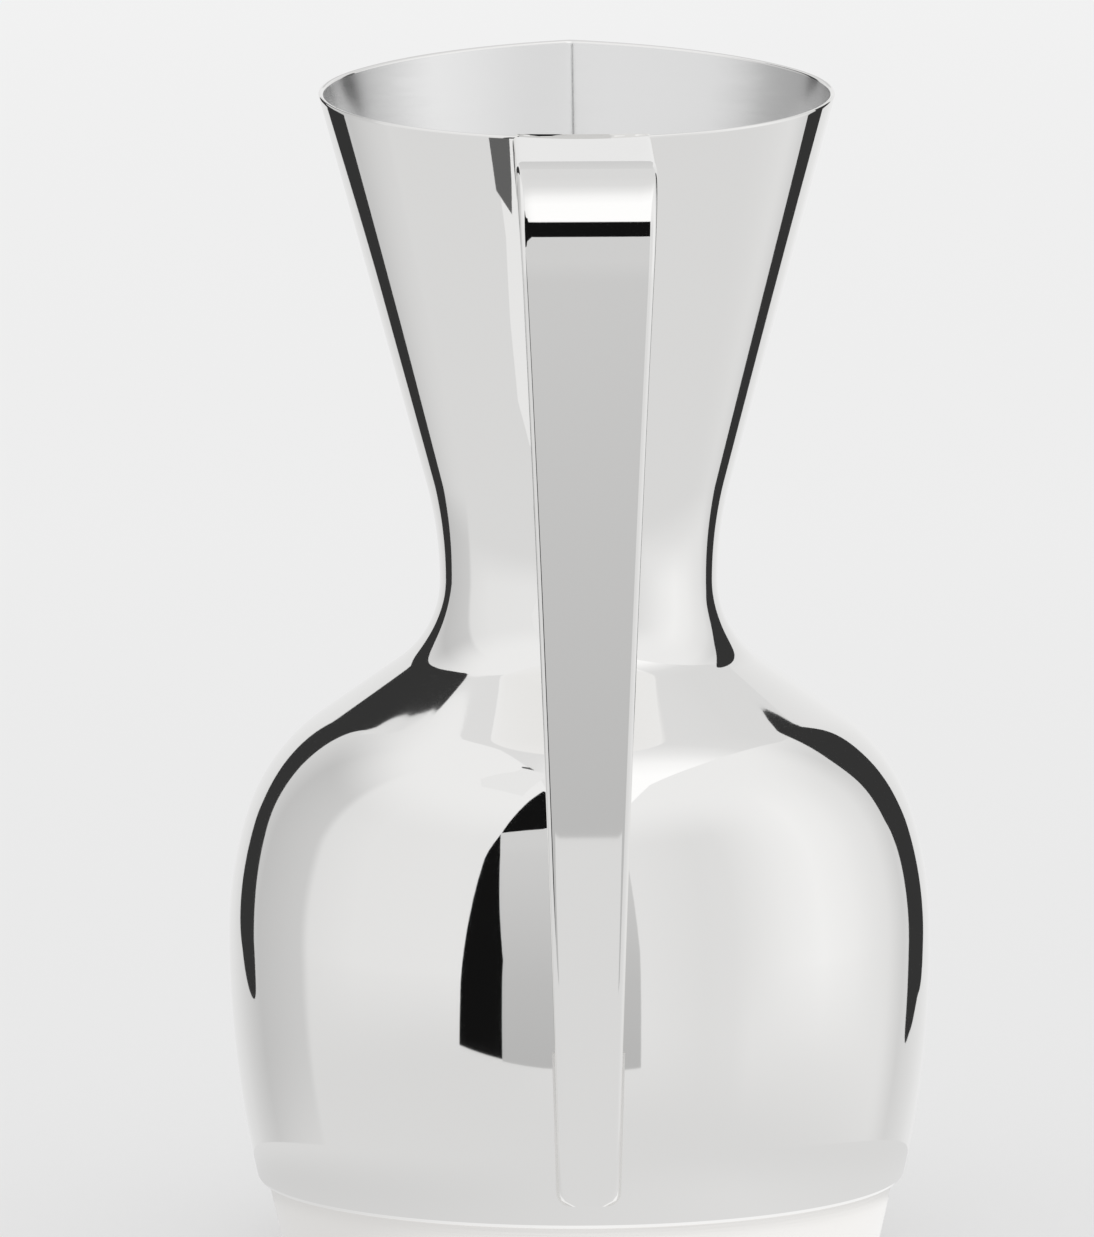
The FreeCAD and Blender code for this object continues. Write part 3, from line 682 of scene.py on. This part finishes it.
def table_glow():
    """The table near the pitcher as seen in the polish: a painted pool of light round the foot, then
    painted shade, then like the studio.
    """
    material, brightness = glow_material("table_painted_shade_and_light")
    tree = material.node_tree
    x, y, _ = coordinates(tree, "Object")
    distance = distance_from_axis(tree, x, y)
    near = ramp(tree, x, -TABLE_SPAN, TABLE_SPAN, NEAR_TABLE)
    foot = ramp(tree, x, -TABLE_SPAN, TABLE_SPAN, FOOT_GLOW)
    level = blend(tree, distance, *FOOT_TO_NEAR, foot, near)
    level = blend(tree, distance, *NEAR_TO_TABLE, level, TABLE_LEVEL)
    tree.links.new(level, brightness)
    return material


def stage_plane(name, corners, material):
    """One flat face of the studio."""
    return stage_mesh(name, corners, [tuple(range(len(corners)))], material)


def stage_mesh(name, corners, faces, material):
    """A part of the studio, which isn't part of the pitcher."""
    mesh = bpy.data.meshes.new(name)
    mesh.from_pydata(corners, [], faces)
    piece = bpy.data.objects.new(name, mesh)
    bpy.context.scene.collection.objects.link(piece)
    mesh.materials.append(material)
    return piece


def only_reflected(piece):
    """The card shows in the polished metal and nowhere else."""
    piece.visible_camera = False
    piece.visible_diffuse = False
    piece.visible_shadow = False
    piece.visible_transmission = False
    return piece


def smooth_outline(outline):
    """The outline as a closed Catmull-Rom curve through its points."""
    count = len(outline)
    curve = []
    for i in range(count):
        before, start, end, after = (Vector(outline[(i + k) % count]) for k in (-1, 0, 1, 2))
        for j in range(OUTLINE_STEPS):
            t = j / OUTLINE_STEPS
            bend = 2 * before - 5 * start + 4 * end - after
            twist = 3 * start - before - 3 * end + after
            spot = start + 0.5 * t * (end - before) + 0.5 * t**2 * bend + 0.5 * t**3 * twist
            curve.append(tuple(spot))
    return curve


def upright_card(name, outline, y, material):
    """A card of (x, z) points in millimetres that stands across the view at y."""
    corners = [(x * MM, y * MM, z * MM) for x, z in outline]
    return only_reflected(stage_plane(name, corners, material))


def level_card(name, outline, z, material):
    """A card of (x, y) points in millimetres that lies at height z."""
    corners = [(x * MM, y * MM, z * MM) for x, y in outline]
    return only_reflected(stage_plane(name, corners, material))


# Floor and wall in metres: the floor's pale colour by distance from the axis, brighter far off as painted
# light falloff, what share of it reflects light and how strongly it shines by itself, a painted glow that
# thins its shadows.
FLOOR_FAR = 7.0
FLOOR_REACH = 40
FLOOR_STOPS = [(0.0, 0.835), (0.3, 0.85), (1.5, 0.885), (FLOOR_FAR, 0.92)]
FLOOR_REFLECTED = 0.5
FLOOR_GLOW = 0.49
WALL_DISTANCE = 12
WALL_LEVEL = 0.905
WALL_HEIGHT = 12


def build_floor():
    """A pale floor lit partly from within, a painted glow that thins its shadows, and a little brighter far
    away as painted light falloff.
    """
    material, tree, shader = shader_material("pale_floor", (0.9, 0.9, 0.9), metallic=0, roughness=0.8)
    shader.inputs["Specular IOR Level"].default_value = 0.0
    x, y, _ = coordinates(tree, "Object")
    # painted light falloff: the floor's colour grows brighter with distance from the pitcher
    white = ramp(tree, distance_from_axis(tree, x, y), 0, FLOOR_FAR, FLOOR_STOPS)
    tree.links.new(math_node(tree, "MULTIPLY", white, FLOOR_REFLECTED), shader.inputs["Base Color"])
    tree.links.new(white, shader.inputs["Emission Color"])
    shader.inputs["Emission Strength"].default_value = FLOOR_GLOW
    quarters = [(-1, -1), (1, -1), (1, 1), (-1, 1)]
    corners = [(x_side * FLOOR_REACH, y_side * FLOOR_REACH, 0) for x_side, y_side in quarters]
    floor = stage_plane("floor", corners, material)
    floor.visible_glossy = False


def build_wall():
    """A plain round wall far off, so that a level view shows no horizon."""
    corners = circle_points(WALL_DISTANCE, 0, WALL_STEPS)
    corners += circle_points(WALL_DISTANCE, WALL_HEIGHT, WALL_STEPS)
    faces = []
    for i in range(WALL_STEPS):
        k = (i + 1) % WALL_STEPS
        faces.append((i, k, WALL_STEPS + k, WALL_STEPS + i))
    wall = stage_mesh("wall", corners, faces, even_glow("wall_white", WALL_LEVEL))
    wall.visible_glossy = False
    wall.visible_diffuse = False
    wall.visible_shadow = False


# What stands round the pitcher and shows only in its polish; outlines in millimetres, brightnesses by
# height or by place in metres.
FRONT_Y = -250
FRONT_GAP = 2  # from the grey card to the black one behind it
GREY_STOPS = [(-0.015, 0.475), (0.07, 0.54), (0.15, 0.60), (0.22, 0.64)]
BLACK_LEVEL = 0.006
GREY_CARD = [
    (-110, -13),
    (-105, 61),
    (-124, 200),
    (-136, 269),
    (-63, 271),
    (-32, 290),
    (-20, 311),
    (52, 311),
    (56, 200),
    (68, 72),
    (71, -13),
    (34, -12),
    (28, 26),
    (-22, 26),
    (-32, -11),
]
BLACK_CARD = [
    (-190, -15),
    (-158, 162),
    (-136, 269),
    (-114, 466),
    (-97, 572),
    (-55, 480),
    (-34, 440),
    (-30, 403),
    (54, 403),
    (54, 300),
    (-40, 262),
    (-100, 120),
    (-98, -12),
]
FLAG_Y = 300
FLAG_LEVEL = 0.034
LEFT_FLAG = [
    (-385, -25),
    (-385, 20),
    (-372, 70),
    (-312, 196),
    (-275, 254),
    (-226, 330),
    (-232, 400),
    (-246, 462),
    (-257, 505),
    (-269, 575),
    (-271, 622),
    (-215, 600),
    (-140, 400),
    (-148, 255),
    (-165, 202),
    (-220, 134),
    (-230, 100),
    (-250, 30),
    (-310, -10),
]
RIGHT_FLAG = [
    (380, -46),
    (388, 40),
    (392, 100),
    (425, 165),
    (418, 250),
    (395, 383),
    (270, 450),
    (219, 278),
    (235, 186),
    (243, 120),
    (234, 70),
    (238, 5),
    (280, -15),
    (327, -37),
]
CEILING_Z = 1500
CEILING_PANEL = [
    (-1096, 1700),
    (-769, 1010),
    (-534, 594),
    (-381, 219),
    (-254, -376),
    (-230, -1150),
    (350, -1150),
    (467, -478),
    (699, 23),
    (871, 469),
    (1084, 1065),
    (1220, 1850),
]
CEILING_SLANT = -0.45  # how much x counts against y in where a stop lies
CEILING_LEFT_LEVEL = 0.74
CEILING_LEFT_EDGE = (-0.35, 0.0)
CEILING_STOPS = [(-0.5, 1.03), (-0.27, 0.96), (-0.07, 0.83), (0.13, 0.74), (0.5, 0.71), (1.0, 0.71)]
BACK_Y = 1200
BACK_PANEL = [(-260, 640), (260, 640), (420, 1500), (-420, 1500)]
BACK_STOPS = [(0.64, 0.62), (1.5, 0.67)]

# A pale screen and a dark patch that leans outwards, next to the neck: (side, height) in millimetres,
# with the patch's distance growing by PATCH_LEAN for each millimetre of height.
SCREEN_AZIMUTH = math.radians(40)
SCREEN_DISTANCE = 76
SCREEN_TOP = 218
SCREEN = [(14, 138), (9, 150), (11, 170), (15, 190), (15, 216), (36, 216), (32, 138)]
PATCH = [(13.6, 216), (13.7, 204.5), (19.3, 199), (21, 205), (23, 216)]
PATCH_LEAN = 0.36
SCREEN_LEVEL = 0.82
PATCH_LEVEL = 0.12


def screen_card(name, outline, lean, material):
    """A card of (side, z) points on the left, facing the neck and leaning out by lean."""
    sine, cosine = math.sin(SCREEN_AZIMUTH), math.cos(SCREEN_AZIMUTH)
    corners = []
    for side, z in outline:
        distance = SCREEN_DISTANCE + lean * (z - SCREEN_TOP)
        x = -distance * sine + side * cosine
        y = -distance * cosine - side * sine
        corners.append((x * MM, y * MM, z * MM))
    return only_reflected(stage_plane(name, corners, material))


def ceiling_glow():
    """Brightest at the front and on the right, dimmer to the left and the back."""
    material, brightness = glow_material("ceiling_white")
    tree = material.node_tree
    x, y, _ = coordinates(tree, "Object")
    along = math_node(tree, "ADD", y, math_node(tree, "MULTIPLY", x, CEILING_SLANT))
    level = ramp(tree, along, CEILING_STOPS[0][0], CEILING_STOPS[-1][0], CEILING_STOPS)
    level = blend(tree, x, *CEILING_LEFT_EDGE, CEILING_LEFT_LEVEL, level)
    tree.links.new(level, brightness)
    return material


def build_cards():
    """Everything that shows only in the polish."""
    black = even_glow("black_card", BLACK_LEVEL)
    flag = even_glow("flag_black", FLAG_LEVEL)
    grey = rising_glow("grey_card", low=-0.1, high=0.4, stops=GREY_STOPS)
    upright_card("front_grey", GREY_CARD, FRONT_Y, grey)
    upright_card("front_black", BLACK_CARD, FRONT_Y - FRONT_GAP, black)
    upright_card("flag_left", smooth_outline(LEFT_FLAG), FLAG_Y, flag)
    upright_card("flag_right", smooth_outline(RIGHT_FLAG), FLAG_Y, flag)
    panel = rising_glow("back_panel", low=0, high=2, stops=BACK_STOPS)
    upright_card("back_panel", BACK_PANEL, BACK_Y, panel)
    level_card("ceiling_panel", CEILING_PANEL, CEILING_Z, ceiling_glow())
    screen_card("neck_screen", SCREEN, 0, even_glow("neck_screen", SCREEN_LEVEL))
    screen_card("neck_patch", PATCH, PATCH_LEAN, even_glow("neck_patch", PATCH_LEVEL))
    round_table = circle_points(TABLE_RADIUS, 0, ROUND_TABLE_STEPS)
    # this card carries painted shade near the pitcher and a painted pool of light round the foot
    only_reflected(stage_plane("table_reflection", round_table, table_glow()))


SUN_STRENGTH = 0.4
SUN_ANGLE = math.radians(100)


def build_lights():
    """One very soft overhead light for the floor and the contact shadow."""
    light = bpy.data.lights.new("overhead", "SUN")
    light.energy = SUN_STRENGTH
    light.angle = SUN_ANGLE
    lamp = bpy.data.objects.new("overhead", light)
    bpy.context.scene.collection.objects.link(lamp)
    lamp.visible_glossy = False


# The camera in metres and radians, its lens and sensor in millimetres, its shift as a share of the sensor.
CAMERA_DISTANCE = 1.8
CAMERA_HEIGHT = 0.32025
CAMERA_AZIMUTH = math.radians(1.3)
CAMERA_PITCH = math.radians(6.056)
CAMERA_ROLL = math.radians(-0.21)
CAMERA_LENS = 255.6
CAMERA_SENSOR = 36
CAMERA_SHIFT = -0.0257


def build_camera():
    """The camera stands on the handle's side and looks a little down."""
    camera_data = bpy.data.cameras.new("camera")
    camera_data.lens = CAMERA_LENS
    camera_data.sensor_width = CAMERA_SENSOR
    camera_data.shift_x = CAMERA_SHIFT
    camera = bpy.data.objects.new("camera", camera_data)
    bpy.context.scene.collection.objects.link(camera)
    bpy.context.scene.camera = camera
    x = -CAMERA_DISTANCE * math.sin(CAMERA_AZIMUTH)
    y = -CAMERA_DISTANCE * math.cos(CAMERA_AZIMUTH)
    turn = Matrix.Rotation(-CAMERA_AZIMUTH, 4, "Z")
    tilt = Matrix.Rotation(math.pi / 2 - CAMERA_PITCH, 4, "X")
    roll = Matrix.Rotation(CAMERA_ROLL, 4, "Z")
    camera.matrix_world = Matrix.Translation((x, y, CAMERA_HEIGHT)) @ turn @ tilt @ roll


# ---------------------------------------------------------------- putting it together

shell = body_shell()
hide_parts("body")
neck = neck_shell()
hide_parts("neck")
handle = strap_handle()
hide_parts("handle")
foot = foot_ring()
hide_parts("foot_band")

polished = polished_silver()
brushed = brushed_silver()
plain = plain_silver()
paint(shell, polished)
paint(neck, polished, brushed)
paint(handle, polished)
paint(foot, satin_silver())
for node in ("base_plate", "throat_solder", "foot_solder", "handle_top_solder", "handle_foot_solder"):
    paint(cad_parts[node], plain)

build_world()
build_floor()
build_wall()
build_cards()
build_lights()
build_camera()
bpy.context.scene.view_settings.view_transform = "Standard"
